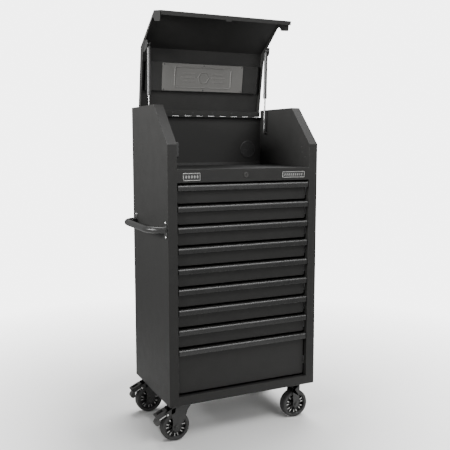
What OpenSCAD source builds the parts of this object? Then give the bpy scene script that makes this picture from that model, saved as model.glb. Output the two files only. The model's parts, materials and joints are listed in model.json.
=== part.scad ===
// Rolling tool chest: a drawer cabinet on castors with a lidded top bay held open by gas struts.
// Lengths in millimetres, angles in degrees. +X is the user's right, -Y the front, +Z up.
// The origin is the floor point under the middle of the whole object.

/* [Cabinet] */
// Width of the cabinet over both side panels
cab_w = 690; // [640:10:760]
// Depth from the front posts to the back panel
cab_d = 450; // [440:10:480]
// Height of the cabinet's underside over the floor
base_z = 165; // [165:1:180]
// Height of the side panels' flat tops
top_z = 1396; // [1390:1:1400]
// Thickness of each double-skinned side panel, which is also the front post's width
wall_t = 40; // [38:1:44]
// Thickness of the folded sheet steel
sheet = 1.5; // [1.2:0.1:2]

/* [Top bay] */
// Height where the side panels begin to slope back
slope_z = 1235; // [1230:1:1240]
// Depth of the sloping stretch of the side panels
slope_run = 153.6; // [150:0.2:157]
// Height of the header panel over the drawers
header_h = 52.4; // [50:0.2:55]
// Height of the header panel's top edge, where the tray floor lies
header_top = 1135; // [1134:1:1136]
// Diameter of the cable grommet's hole in the back panel
grommet_d = 76; // [60:1:80]

/* [Drawers] */
// Number of shallow drawers over the deep one
shallow_count = 8; // [8]
// Height from one drawer to the next
drawer_pitch = 84.5; // [84:0.1:85]
// Height of the full-width finger pull on each drawer
pull_h = 25; // [22:1:26]
// Depth of the drawer fronts behind the front posts
front_recess = 18; // [16:1:20]
// Depth of a drawer box from front to back
drawer_d = 400; // [380:10:400]

/* [Lid] */
// Angle the open lid stands from its closed place
lid_open = 81; // [80:0.5:82]
// Gap between each end of the lid and the side panels
lid_gap = 2; // [1.5:0.5:3]
// Depth of the return lip along the lid's front edge
lip_d = 18; // [14:1:20]
// Diameter of the gas strut cylinders
strut_d = 18; // [16:1:18]
// Diameter of the gas strut rods
rod_d = 8; // [7:1:8]

/* [Castors] */
// Diameter of the wheels over the tyre
wheel_d = 125; // [120:1:125]
// Width of the wheels
wheel_w = 42; // [36:1:42]
// Distance of the swivel castors' axles behind their swivel axes
trail = 34; // [30:1:36]

/* [Push handle] */
// Diameter of the handle's tube
tube_d = 28; // [25:1:28]
// Distance of the grip's centre line from the side panel
handle_reach = 62; // [58:1:66]

/* [Hidden] */
$fn = 48;
drawer_count = shallow_count + 1;

coat = [0.16, 0.16, 0.155];
dark = [0.09, 0.09, 0.09];
plate_grey = [0.40, 0.40, 0.38];
bright = [0.72, 0.72, 0.70];
steel = [0.35, 0.35, 0.35];
fit = 0.06;

// Cabinet heights and inner faces
floor_z = base_z + sheet;
inner_l = wall_t;
inner_r = cab_w - wall_t;
mid_x = cab_w / 2;
rail_top = base_z + 38;
opening_top = header_top - header_h;
slope_k = (top_z - slope_z) / slope_run;
slope_len = sqrt(1 + slope_k * slope_k);

// Lid hinge: the pin stands just behind the back panel
hinge_y = cab_d + 3;
hinge_z = top_z - 35;
leaf_gap = 0.4;
leaf_t = 1.2;
leaf_w = 27;
knuckle_r = 3.2;
pin_r = 1.1;
pin_fit = 0.095;
knuckle_count = 20;
hinge_inset = 4;
lid_x0 = wall_t + lid_gap;
lid_w = cab_w - 2 * lid_x0;
lid_bottom = header_top + sheet + 2;
lid_return_z = hinge_z + leaf_gap + leaf_t;
back_top_z = hinge_z - leaf_gap - leaf_t;

// Where cabinet coordinates, measured from the front left corner, lie in the part's own frame
lock_proud = 3;
lid_rear = hinge_y + (cab_d - hinge_y) * cos(lid_open) + (top_z - hinge_z) * sin(lid_open);
x_left = (handle_reach + tube_d / 2 - cab_w) / 2;
y_front = (lock_proud - lid_rear) / 2;

// Gas struts: pivots beside the inner walls, the upper one given in the closed lid's place
strut_inset = 16;
strut_low = [380, 1287];
strut_high_closed = [135.6, 1324];
socket_r = 6.5;
socket_w = 12;
stud_r = 4;
strut_high = [
    hinge_y + (strut_high_closed[0] - hinge_y) * cos(lid_open)
        + (strut_high_closed[1] - hinge_z) * sin(lid_open),
    hinge_z - (strut_high_closed[0] - hinge_y) * sin(lid_open)
        + (strut_high_closed[1] - hinge_z) * cos(lid_open)];
strut_len = norm(strut_high - strut_low);
strut_lean = atan2(strut_low[0] - strut_high[0], strut_high[1] - strut_low[1]);
rod_visible = 161;

// Slides: three nested members fill the gap beside each drawer
slide_gap = 13;
slide_h = 35;
slide_y = 22;
slide_l = 400;
member_t = 1.2;

// Drawers
front_x0 = inner_l + 7;
front_w = cab_w - 2 * front_x0;
box_x0 = inner_l + slide_gap;
box_w = cab_w - 2 * box_x0;
pull_x0 = inner_l + 4;
pull_w = cab_w - 2 * pull_x0;
pull_t = 2;
pull_r = 10;
first_drop = 6.6;
shallow_front = 76;
deep_bottom = 212;

// Castors
plate_z = base_z - 4;
axle_z = wheel_d / 2;
castor_y = [58, 394];
swivel_x = 74;
rigid_x = 620;
fork_in = wheel_w / 2 + 3;
fork_t = 3;
axle_r = 6;
king_r = 6;
pedal_pin = [-72, 122];
pedal_pin_r = 3;

// Push handle
handle_z = 896;
handle_y = [22, 403];
handle_lean = 26;
bend_r = 70;
flange_t = 3;
stub_l = (handle_reach - bend_r * (1 - sin(handle_lean))) / cos(handle_lean);

// Lock
lock_z = 1110;
lock_r = 8;
crank_r = 10;

function pull_top(i) = opening_top - first_drop - drawer_pitch * (i - 1);
function front_bottom(i) = i > shallow_count ? deep_bottom : pull_top(i) - shallow_front;
function slide_z(i) = front_bottom(i) + (i > shallow_count ? 60 : 32);

// ---- helpers ----

// Moves cabinet coordinates (origin at the front left floor corner) into the part's frame
module cab() translate([x_left, y_front, 0]) children();

// Turns closed-lid geometry about the hinge pin to the open place
module lid_place() {
    cab() translate([0, hinge_y, hinge_z]) rotate([-lid_open, 0, 0]) translate([0, -hinge_y, -hinge_z])
        children();
}

// Left-hand geometry, or its mirror image on the right
module on_side(right) {
    translate([right ? cab_w : 0, 0, 0]) mirror([right ? 1 : 0, 0, 0]) children();
}

// Extrudes an outline drawn in depth and height along X
module along_x(length) rotate([90, 0, 90]) linear_extrude(length) children();

// Extrudes an outline drawn in width and height along Y
module along_y(length) translate([0, length, 0]) rotate([90, 0, 0]) linear_extrude(length) children();

module rod_x(radius, length) rotate([0, 90, 0]) cylinder(h = length, r = radius);

module rod_y(radius, length) rotate([-90, 0, 0]) cylinder(h = length, r = radius);

// Low domed screw or rivet head on the XY plane
module dome_head(radius, height) {
    rotate_extrude() polygon(concat([[0, 0]],
        [for (a = [0:15:90]) [radius * cos(a), height * sin(a)]]));
}

// Hexagonal bolt head
module hex_head(radius, height) cylinder(h = height, r = radius, $fn = 6);

// ---- cabinet ----

module side_outline(inset) {
    low = inset > 0 ? -10 : floor_z;
    polygon([
        [inset, low],
        [inset, slope_z + slope_k * inset - inset * slope_len],
        [(top_z - inset - slope_z + inset * slope_len) / slope_k, top_z - inset],
        [cab_d - inset, top_z - inset],
        [cab_d - inset, low]]);
}

module side_panel(right) {
    color(coat) cab() on_side(right) difference() {
        along_x(wall_t) side_outline(0);
        translate([sheet, 0, 0]) along_x(wall_t - 2 * sheet) side_outline(sheet);
    }
}

module back_panel() {
    flange_d = 22;
    color(coat) cab() difference() {
        union() {
            translate([inner_l, cab_d - sheet, floor_z])
                cube([inner_r - inner_l, sheet, back_top_z - floor_z]);
            translate([inner_l, cab_d - flange_d, back_top_z - sheet])
                cube([inner_r - inner_l, flange_d, sheet]);
        }
        translate([grommet_x, cab_d - sheet - 1, grommet_z]) rod_y(grommet_d / 2, sheet + 2);
    }
}

module base_pan() {
    rail_flange = 20;
    rear_lip = 25;
    color(coat) cab() {
        translate([0, 0, base_z]) cube([cab_w, cab_d, sheet]);
        translate([inner_l, 0, floor_z]) cube([inner_r - inner_l, sheet, rail_top - floor_z]);
        translate([inner_l, 0, rail_top - sheet]) cube([inner_r - inner_l, rail_flange, sheet]);
        translate([inner_l, cab_d - 2 * sheet, floor_z]) cube([inner_r - inner_l, sheet, rear_lip]);
    }
}

module tray_floor() {
    upstand = 12;
    color(dark) cab() {
        translate([inner_l, 0, header_top]) cube([inner_r - inner_l, cab_d - sheet, sheet]);
        translate([inner_l, cab_d - 2 * sheet, header_top]) cube([inner_r - inner_l, sheet, upstand]);
    }
}

module header_panel() {
    top_flange = 30;
    low_flange = 15;
    color(coat) cab() difference() {
        union() {
            translate([inner_l, 0, opening_top]) cube([inner_r - inner_l, sheet, header_h]);
            translate([inner_l, 0, header_top - sheet]) cube([inner_r - inner_l, top_flange, sheet]);
            translate([inner_l, 0, opening_top]) cube([inner_r - inner_l, low_flange, sheet]);
        }
        translate([mid_x, -1, lock_z]) rod_y(lock_r + fit, sheet + 2);
    }
}

// Two blank badge plates and the bezel round the lock
module header_badges() {
    badge_t = 1.5;
    badges = [[65, 1091, 75, 31], [517, 1094, 110, 26]];
    color(bright) cab() {
        for (b = badges) translate([b[0], -badge_t, b[1]]) difference() {
            cube([b[2], badge_t, b[3]]);
            translate([2, -1, 2]) cube([b[2] - 4, 1.5, b[3] - 4]);
        }
        translate([mid_x, -lock_proud + 1, lock_z]) difference() {
            rod_y(11.5, lock_proud - 1);
            translate([0, -1, 0]) rod_y(lock_r + fit, lock_proud + 1);
        }
    }
}

// ---- lock ----

// Key barrel with a crank behind the header panel
module lock_cylinder() {
    barrel_l = 28;
    color(bright) cab() translate([mid_x, -lock_proud, lock_z]) {
        difference() {
            rod_y(lock_r, barrel_l + lock_proud);
            translate([-1, -1, -4.5]) cube([2, 5, 9]);
        }
        translate([-6, barrel_l + lock_proud, -crank_r - 5]) cube([12, 2, crank_r + 11]);
        translate([0, barrel_l + lock_proud + 2, -crank_r]) rod_y(2, 7);
    }
}

// Lifting bar: a slotted tab at the crank, a rod to the back and a bar behind the drawers
module lock_bar() {
    tab_y = 34;
    bar_y = 432;
    rod_s = 6;
    color(steel) cab() translate([mid_x, 0, 0]) {
        difference() {
            translate([-16, tab_y, lock_z - crank_r - 10]) cube([36, 2, 20]);
            translate([-5, tab_y - 1, lock_z - crank_r - 4.4]) cube([20, 4, 8.8]);
        }
        translate([-rod_s / 2, tab_y + 2, lock_z - crank_r - 12]) cube([rod_s, bar_y - tab_y - 2, 5]);
        translate([-9, bar_y, 230]) cube([18, 4, lock_z - crank_r - 7 - 230]);
        for (i = [1:drawer_count]) translate([-9, bar_y - 6, slide_z(i)]) cube([18, 6, 4]);
    }
}

// ---- drawers ----

module drawer(i) {
    z0 = front_bottom(i);
    front_h = pull_top(i) - z0 - 4;
    side_h = front_h - 8;
    hem = 5;
    corner = 8;
    color(coat) cab() {
        translate([front_x0, front_recess, z0]) {
            difference() {
                along_y(sheet) union() {
                    translate([corner, 0]) square([front_w - 2 * corner, front_h]);
                    translate([0, corner]) square([front_w, front_h - corner]);
                    for (x = [corner, front_w - corner]) translate([x, corner]) circle(corner);
                }
            }
            translate([corner, sheet, 0]) cube([front_w - 2 * corner, hem, sheet]);
        }
        translate([box_x0, front_recess + sheet, z0 + 3]) difference() {
            cube([box_w, drawer_d, side_h]);
            translate([sheet, sheet, sheet]) cube([box_w - 2 * sheet, drawer_d - 2 * sheet, side_h]);
        }
        for (right = [false, true]) on_side(right) translate([inner_l, slide_y, slide_z(i)])
            drawer_member();
    }
}

// Full-width finger pull: a rounded nose, a face and a small return, closed at both ends
module drawer_pull(i) {
    end_t = 1.5;
    color([0.2, 0.2, 0.195]) cab() translate([pull_x0, 0, pull_top(i)]) {
        along_x(pull_w) pull_outline();
        for (x = [0, pull_w - end_t]) translate([x, 0, 0]) along_x(end_t) polygon(concat(
            [[front_recess, 0]], nose(pull_r), [[0, -pull_h], [front_recess, -pull_h]]));
    }
}

function nose(r) = [for (a = [90:10:180]) [pull_r + r * cos(a), -pull_r + r * sin(a)]];

module pull_outline() {
    inner = nose(pull_r - pull_t);
    polygon(concat(
        [[front_recess, 0]], nose(pull_r),
        [[0, -pull_h], [5, -pull_h], [5, -pull_h + pull_t], [pull_t, -pull_h + pull_t]],
        [for (k = [len(inner) - 1:-1:0]) inner[k]],
        [[front_recess, -pull_t]]));
}

// A channel of one slide member: web against x = 0, two flanges
module slide_channel(height, flange) {
    translate([0, 0, -height / 2]) {
        cube([member_t, slide_l, height]);
        cube([flange, slide_l, member_t]);
        translate([0, 0, height - member_t]) cube([flange, slide_l, member_t]);
    }
}

module cabinet_member() slide_channel(slide_h, 9.5);

module middle_member() translate([1.7, 0, 0]) slide_channel(slide_h - 3.4, 8);

module drawer_member() {
    height = slide_h - 6.8;
    translate([slide_gap, 0, 0]) mirror([1, 0, 0]) slide_channel(height, 9.2);
}

module slide_cabinet_rails() {
    color(steel) cab() for (i = [1:drawer_count], right = [false, true]) on_side(right)
        translate([inner_l, slide_y, slide_z(i)]) cabinet_member();
}

module slide_middle_rails(i) {
    color(steel) cab() for (right = [false, true]) on_side(right)
        translate([inner_l, slide_y, slide_z(i)]) middle_member();
}

// ---- lid, drawn closed and turned open about the hinge pin ----

module lid_section() {
    k = slope_k * sheet - sheet * slope_len;
    top_in = (top_z - sheet - slope_z + sheet * slope_len) / slope_k;
    polygon([
        [cab_d - 25, lid_return_z], [cab_d, lid_return_z], [cab_d, top_z], [slope_run, top_z],
        [0, slope_z], [0, lid_bottom], [lip_d, lid_bottom], [lip_d, lid_bottom + sheet],
        [sheet, lid_bottom + sheet], [sheet, slope_z + k], [top_in, top_z - sheet],
        [cab_d - sheet, top_z - sheet], [cab_d - sheet, lid_return_z + sheet],
        [cab_d - 25, lid_return_z + sheet]]);
}

// Side flange of the lid: shallow along the slope, deeper at the front and the flat
module lid_flange() {
    polygon([
        [cab_d, top_z], [slope_run, top_z], [0, slope_z], [0, 1155], [37, 1155], [41, 1157], [43, 1161],
        [43, 1213], [40, 1221], [33, 1228], [29, 1237], [28, 1244], [34, 1255], [130, 1343],
        [185, 1364], [cab_d, 1369]]);
}

module lid_shell() {
    catch_w = 24;
    color(coat) lid_place() {
        translate([lid_x0, 0, 0]) along_x(lid_w) lid_section();
        for (x = [lid_x0, lid_x0 + lid_w - sheet]) translate([x, 0, 0]) along_x(sheet) lid_flange();
        translate([mid_x - catch_w / 2, lip_d, lid_bottom]) cube([catch_w, 6, sheet]);
    }
}

// Hat channel across the inside of the lid's flat section
module lid_stiffener() {
    hat = [213, 340];
    face_z = 1378;
    hat_x0 = 63;
    wall = 1.2;
    skin_z = top_z - sheet;
    color(coat) lid_place() translate([hat_x0, hat[0], face_z]) difference() {
        cube([cab_w - 2 * hat_x0, hat[1] - hat[0], skin_z - face_z]);
        translate([wall, wall, wall])
            cube([cab_w - 2 * hat_x0 - 2 * wall, hat[1] - hat[0] - 2 * wall, skin_z - face_z]);
    }
}

// Blank plate with a raised border
module lid_nameplate() {
    size = [405, 122.5];
    plate_y = 215.2;
    rise = 0.8;
    color(plate_grey) lid_place() translate([mid_x - size[0] / 2, plate_y, 1378 - 1.5]) {
        cube([size[0], size[1], 1.5]);
        translate([60, 18, -rise]) difference() {
            cube([size[0] - 120, size[1] - 36, rise]);
            translate([3, 3, -1]) cube([size[0] - 126, size[1] - 42, rise + 2]);
        }
    }
}

module knuckles(first, bore) {
    pitch = (lid_w - 2 * hinge_inset) / knuckle_count;
    for (k = [first:2:knuckle_count - 1]) translate([lid_x0 + hinge_inset + k * pitch, hinge_y, hinge_z])
        difference() {
            rod_x(knuckle_r, pitch - 0.6);
            translate([-1, 0, 0]) rod_x(bore, pitch + 2);
        }
}

module hinge_lid_leaf() {
    pitch = (lid_w - 2 * hinge_inset) / knuckle_count;
    color(coat) lid_place() {
        knuckles(0, pin_r + pin_fit);
        translate([lid_x0 + hinge_inset, hinge_y - leaf_w, hinge_z + leaf_gap])
            cube([lid_w - 2 * hinge_inset, leaf_w - knuckle_r - 0.4, leaf_t]);
        for (k = [0:2:knuckle_count - 1])
            translate([lid_x0 + hinge_inset + k * pitch, hinge_y - knuckle_r - 0.6, hinge_z + leaf_gap])
                cube([pitch - 0.6, 2.4, leaf_t]);
    }
}

module hinge_cabinet_leaf() {
    pitch = (lid_w - 2 * hinge_inset) / knuckle_count;
    color(coat) cab() {
        knuckles(1, pin_r - 0.2);
        translate([lid_x0 + hinge_inset, hinge_y, hinge_z]) rod_x(pin_r, lid_w - 2 * hinge_inset);
        translate([lid_x0 + hinge_inset, hinge_y - leaf_w, hinge_z - leaf_gap - leaf_t])
            cube([lid_w - 2 * hinge_inset, leaf_w - knuckle_r - 0.4, leaf_t]);
        for (k = [1:2:knuckle_count - 1])
            translate([lid_x0 + hinge_inset + k * pitch, hinge_y - knuckle_r - 0.6,
                       hinge_z - leaf_gap - leaf_t])
                cube([pitch - 0.6, 2.4, leaf_t]);
    }
}

// Strut brackets with their studs, nameplate rivets and hinge screws, all on the lid
module lid_fasteners() {
    rivet_z = 1378 - 1.5;
    plate_y = [221, 332];
    color(steel) lid_place() {
        for (right = [false, true]) on_side(right) translate([lid_x0 + sheet, 0, 0]) {
            along_x(2) polygon([[118, 1312], [152, 1312], [176, 1352], [160, 1376], [124, 1336]]);
            translate([2, strut_high_closed[0], strut_high_closed[1]]) rod_x(stud_r, stud_l());
        }
        for (x = [150, 540], y = plate_y) translate([x, y, rivet_z]) mirror([0, 0, 1]) dome_head(3, 1.6);
        for (y = plate_y) translate([mid_x, y, rivet_z]) mirror([0, 0, 1]) dome_head(3, 1.6);
        for (x = [95:100:595]) translate([x, hinge_y - 18, hinge_z + leaf_gap])
            mirror([0, 0, 1]) cylinder(h = 0.3, r = 3);
    }
}

// The lid's stud stops half a millimetre short of the strut's upper socket
function stud_l() = strut_inset + inner_l - socket_w / 2 - 0.5 - (lid_x0 + sheet + 2);

// ---- gas struts ----

module strut_place(right) {
    cab() on_side(right) translate([inner_l + strut_inset, strut_low[0], strut_low[1]])
        rotate([strut_lean, 0, 0]) children();
}

module socket(z) {
    translate([-socket_w / 2, 0, z]) difference() {
        rod_x(socket_r, socket_w);
        translate([-1, 0, 0]) rod_x(stud_r + fit, socket_w + 2);
    }
}

module strut_rod(right) {
    tip = 186;
    color(bright) strut_place(right) {
        socket(0);
        translate([0, 0, socket_r - 0.5]) cylinder(h = tip - socket_r, r = rod_d / 2);
        translate([0, 0, tip - 6]) cylinder(h = 10, r = strut_d / 2 - 1.6);
    }
}

module strut_cylinder(right) {
    cap = socket_r + 5;
    color(dark) strut_place(right) {
        difference() {
            translate([0, 0, rod_visible]) cylinder(h = strut_len - cap - rod_visible, r = strut_d / 2);
            translate([0, 0, rod_visible + 8])
                cylinder(h = strut_len - cap - rod_visible - 14, r = strut_d / 2 - 1.5);
            translate([0, 0, rod_visible - 1]) cylinder(h = 10, r = rod_d / 2 + fit);
        }
        difference() {
            translate([0, 0, strut_len - cap - 0.5]) cylinder(h = cap - 2, r = 5);
            translate([-socket_w, 0, strut_len]) rod_x(stud_r + 1, 2 * socket_w);
        }
        socket(strut_len);
    }
}

// ---- fittings on the cabinet ----

grommet_x = 581;
grommet_z = 1209;

// Round cable grommet with eight flexible flaps
module cable_grommet() {
    ring_t = 2.5;
    ring_r = grommet_d / 2 + 3.5;
    sleeve = grommet_d / 2 - 0.1;
    color(dark) cab() translate([grommet_x, cab_d - sheet - ring_t, grommet_z]) difference() {
        union() {
            rod_y(ring_r, ring_t);
            rod_y(sleeve, 2 * ring_t + sheet);
            translate([0, ring_t + sheet, 0]) rod_y(ring_r, ring_t);
        }
        translate([0, -1, 0]) rod_y(sleeve - 3, ring_t + 1);
        translate([0, ring_t + 1.2, 0]) rod_y(sleeve - 3, 3 * ring_t);
        translate([0, -1, 0]) rod_y(5, 10 * ring_t);
        for (a = [0:45:315]) rotate([0, a, 0]) translate([0, -1, -0.5]) cube([sleeve - 4, 10, 1]);
    }
}

// Power outlet strip on the left inner wall, with ribs along its face
module power_block() {
    strip_y = 52;
    strip_l = 180;
    depth = 28;
    height = 62;
    color(dark) cab() translate([inner_l, strip_y, 1182]) {
        cube([depth, strip_l, height]);
        for (z = [5, 25, 45]) translate([depth, 0, z]) cube([4, strip_l, 12]);
    }
}

// Push handle: a leaning stub, a bend and an oval flange at each end of a straight grip.
// The bends are a little slimmer and run into the straight lengths.
module push_handle() {
    flange_r = 15;
    flange_h = 74;
    lap = 2;
    bend_tube_r = tube_d / 2 - 0.25;
    sweep = 90 - handle_lean;
    bend_run = stub_l * sin(handle_lean) + bend_r * cos(handle_lean);
    color(coat) cab() translate([0, 0, handle_z]) {
        for (end = [0, 1]) translate([0, handle_y[end], 0]) {
            inward = end == 0 ? 1 : -1;
            difference() {
                rotate([0, 0, 180 - inward * handle_lean]) translate([-10, 0, 0])
                    rod_x(tube_d / 2, stub_l + 10 + lap);
                translate([0, -50, -50]) cube([50, 100, 100]);
            }
            translate([bend_r - handle_reach, inward * bend_run, 0])
                rotate([0, 0, end == 0 ? 180 : 180 - sweep])
                    rotate_extrude(angle = sweep) translate([bend_r, 0]) circle(bend_tube_r);
            for (z = [-1, 1]) translate([-flange_t, 0, z * (flange_h / 2 - flange_r)])
                rod_x(flange_r, flange_t);
            translate([-flange_t, -flange_r, flange_r - flange_h / 2])
                cube([flange_t, 2 * flange_r, flange_h - 2 * flange_r]);
        }
        translate([-handle_reach, handle_y[0] + bend_run - lap, 0])
            rod_y(tube_d / 2, handle_y[1] - handle_y[0] - 2 * (bend_run - lap));
    }
}

// Handle screws, castor bolts, strut studs and wall screws on the cabinet
module cabinet_fasteners() {
    color(bright) cab() {
        for (y = handle_y, z = [-29, 29]) translate([-flange_t, y, handle_z + z]) rotate([0, -90, 0])
            dome_head(4.5, 2.5);
        for (right = [false, true]) on_side(right) {
            translate([inner_l, strut_low[0], strut_low[1]]) {
                rod_x(7, 3);
                rod_x(stud_r, strut_inset + socket_w / 2 + 1);
            }
            for (p = right ? [[421, 1199], [61, 1223], [61, 1199], [37, 1180]] : [[421, 1199], [37, 1180]])
                translate([inner_l, p[0], p[1]]) rotate([0, 90, 0]) dome_head(3, 1.4);
        }
        for (x = [swivel_x, rigid_x], y = castor_y, dx = [-40, 40], dy = [-32, 32])
            translate([x + dx, y + dy, plate_z - 5]) hex_head(6, 5);
    }
}

// ---- castors ----

module castor_plate(x, y) {
    plate = [100, 84, base_z - plate_z];
    translate([x - plate[0] / 2, y - plate[1] / 2, plate_z]) cube(plate);
}

// Two fork legs from a crown at the top to the axle, with the axle bolt
module fork_legs(axle_x, top, leg, boss_r) {
    crown_z = 150;
    for (side = [0, 1]) mirror([0, side, 0]) translate([0, fork_in, 0]) difference() {
        along_y(fork_t) union() {
            polygon(concat([[top[0], crown_z], [top[1], crown_z]], leg));
            translate([axle_x, axle_z]) circle(boss_r);
        }
        translate([axle_x, -1, axle_z]) rod_y(axle_r + fit, fork_t + 2);
    }
    translate([axle_x, -fork_in - fork_t - 1, axle_z]) rod_y(axle_r, 2 * (fork_in + fork_t + 1));
    for (side = [0, 1]) mirror([0, side, 0])
        translate([axle_x, fork_in + fork_t + 1, axle_z]) rotate([-90, 0, 0]) hex_head(9, 5);
    translate([top[0], -fork_in - fork_t, crown_z])
        cube([top[1] - top[0], 2 * (fork_in + fork_t), fork_t]);
}

// Mounting plates, the swivels' king pins and the two rigid forks
module castor_frames() {
    color(steel) cab() {
        for (y = castor_y) {
            castor_plate(swivel_x, y);
            translate([swivel_x, y, 148]) cylinder(h = plate_z - 148, r = king_r);
            castor_plate(rigid_x, y);
            translate([rigid_x, y, 0]) {
                fork_legs(0, [-18, 18], [[14, axle_z], [-14, axle_z]], 14);
                translate([-18, -fork_in - fork_t, 153]) cube([36, 2 * (fork_in + fork_t), plate_z - 153]);
            }
        }
    }
}

// Turning fork with a raceway round the king pin and lugs for the brake pedal
module swivel_fork(k) {
    race_r = 34;
    leg = [[16, 132], [10, 110], [-1, 84], [-14, axle_z], [-50, axle_z], [-49, 84], [-50, 97], [-56, 112],
           [-56, 142]];
    color(steel) cab() translate([swivel_x, castor_y[k], 0]) {
        difference() {
            union() {
                fork_legs(-trail, [-40, 30], leg, 18);
                translate([0, 0, 153]) cylinder(h = plate_z - 0.5 - 153, r = race_r);
            }
            translate([0, 0, 140]) cylinder(h = 40, r = king_r + fit);
        }
        for (side = [0, 1]) mirror([0, side, 0]) translate([0, fork_in, 0]) along_y(fork_t)
            polygon([[-36, 150], [-66, 140], [-79, 128], [-79, 115], [-70, 113], [-38, 132]]);
        translate([pedal_pin[0], -fork_in, pedal_pin[1]]) rod_y(pedal_pin_r, 2 * fork_in);
    }
}

module brake_pedal(k) {
    lever_w = 36;
    block_w = 28;
    slot_w = 18;
    color(dark) cab() translate([swivel_x, castor_y[k], 0]) difference() {
        union() {
            translate([pedal_pin[0], -lever_w / 2, pedal_pin[1]]) rod_y(6, lever_w);
            translate([0, -lever_w / 2, 0]) along_y(lever_w)
                polygon([[-73, 142], [-119, 121], [-122, 115], [-106, 101], [-80, 112], [-68, 120], [-67, 130]]);
            translate([0, -block_w / 2, 0]) along_y(block_w)
                polygon([[-101, 106], [-113, 108], [-124, 90], [-121, 80], [-112, 76], [-102, 80]]);
        }
        translate([-112, -slot_w / 2, 108]) cube([26, slot_w, 40]);
        translate([pedal_pin[0], -lever_w, pedal_pin[1]]) rod_y(pedal_pin_r + fit, 2 * lever_w);
    }
}

// Wheel: a hub with a web and rim, and a crowned tyre on it
module wheel(x, y) {
    half = wheel_w / 2;
    rim_r = 47;
    crown = 4;
    color(dark) cab() translate([x, y, axle_z]) rotate([90, 0, 0]) {
        rotate_extrude($fn = 64) difference() {
            union() {
                translate([0, -half]) square([13, 2 * half]);
                translate([0, -4]) square([rim_r - 2, 8]);
                translate([rim_r - 5, -half + 2]) square([5, 2 * half - 4]);
            }
            translate([-1, -half - 1]) square([axle_r + fit + 1, wheel_w + 2]);
        }
        rotate_extrude($fn = 64) polygon(concat(
            [[rim_r + 0.05, half - 1], [rim_r + 0.05, 1 - half], [rim_r + 2, -half]],
            [for (t = [-1:0.2:1]) [axle_z - crown * t * t, t * half]],
            [[rim_r + 2, half]]));
    }
}

for (i = [1:drawer_count]) {
    drawer(i);
    drawer_pull(i);
    slide_middle_rails(i);
}
side_panel(false);  // side_panel_left
side_panel(true);  // side_panel_right
back_panel();
base_pan();
tray_floor();
header_panel();
header_badges();
slide_cabinet_rails();
lock_cylinder();
lock_bar();
lid_shell();
lid_stiffener();
lid_nameplate();
hinge_lid_leaf();
hinge_cabinet_leaf();
lid_fasteners();
cabinet_fasteners();
strut_cylinder(false);  // strut_cylinder_left
strut_cylinder(true);  // strut_cylinder_right
strut_rod(false);  // strut_rod_left
strut_rod(true);  // strut_rod_right
cable_grommet();
power_block();
push_handle();
castor_frames();
swivel_fork(0);  // swivel_fork_front
swivel_fork(1);  // swivel_fork_rear
wheel(swivel_x - trail, castor_y[0]);  // wheel_front_left
wheel(swivel_x - trail, castor_y[1]);  // wheel_rear_left
wheel(rigid_x, castor_y[0]);  // wheel_front_right
wheel(rigid_x, castor_y[1]);  // wheel_rear_right
brake_pedal(0);  // brake_pedal_front
brake_pedal(1);  // brake_pedal_rear
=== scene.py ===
import json
import math

import bmesh
import bpy
from mathutils import Matrix, Vector

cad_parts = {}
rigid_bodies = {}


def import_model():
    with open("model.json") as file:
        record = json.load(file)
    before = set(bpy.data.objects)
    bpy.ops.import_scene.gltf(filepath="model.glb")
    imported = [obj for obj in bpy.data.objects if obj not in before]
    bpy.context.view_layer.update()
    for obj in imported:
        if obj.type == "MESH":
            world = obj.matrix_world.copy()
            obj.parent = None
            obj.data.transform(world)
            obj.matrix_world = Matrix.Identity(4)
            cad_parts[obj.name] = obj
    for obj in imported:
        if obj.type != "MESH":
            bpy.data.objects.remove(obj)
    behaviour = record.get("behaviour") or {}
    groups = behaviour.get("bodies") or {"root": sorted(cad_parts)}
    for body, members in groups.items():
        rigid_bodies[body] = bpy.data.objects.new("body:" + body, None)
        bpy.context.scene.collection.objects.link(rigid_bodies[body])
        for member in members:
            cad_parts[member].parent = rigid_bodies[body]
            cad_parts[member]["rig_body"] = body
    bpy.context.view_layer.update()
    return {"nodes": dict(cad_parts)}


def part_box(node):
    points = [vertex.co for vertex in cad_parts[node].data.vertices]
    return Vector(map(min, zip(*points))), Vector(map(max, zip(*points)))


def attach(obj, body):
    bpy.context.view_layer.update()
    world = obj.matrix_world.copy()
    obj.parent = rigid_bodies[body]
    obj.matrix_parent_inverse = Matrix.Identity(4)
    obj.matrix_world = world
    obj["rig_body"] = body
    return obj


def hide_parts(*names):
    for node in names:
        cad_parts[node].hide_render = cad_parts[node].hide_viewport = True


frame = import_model()

# ---- frame: cabinet millimetres (front left floor corner) to the row frame in metres ----

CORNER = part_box("side_panel_left")[0]
WIDTH, DEPTH = 690.0, 450.0
CAB = Matrix.Translation((CORNER.x, CORNER.y, 0)) @ Matrix.Scale(0.001, 4)
HINGE_Y, HINGE_Z, LID_OPEN = 453.0, 1361.0, 81.0
LID = (
    CAB
    @ Matrix.Translation((0, HINGE_Y, HINGE_Z))
    @ Matrix.Rotation(math.radians(-LID_OPEN), 4, "X")
    @ Matrix.Translation((0, -HINGE_Y, -HINGE_Z))
)
FLIP_X = Matrix.Translation((WIDTH, 0, 0)) @ Matrix.Scale(-1, 4, (1, 0, 0))

# ---- camera and light ----

cam_data = bpy.data.cameras.new("camera")
cam = bpy.data.objects.new("camera", cam_data)
bpy.context.scene.collection.objects.link(cam)
bpy.context.scene.camera = cam
PITCH_DOWN, YAW = 7.18, -25.18
cam.location = CAB @ Vector((-903.1, -2449.3, 1247.2))
cam.rotation_euler = (math.radians(90 - PITCH_DOWN), 0, math.radians(YAW))
cam_data.lens = 53.15
cam_data.sensor_width = 36

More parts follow.
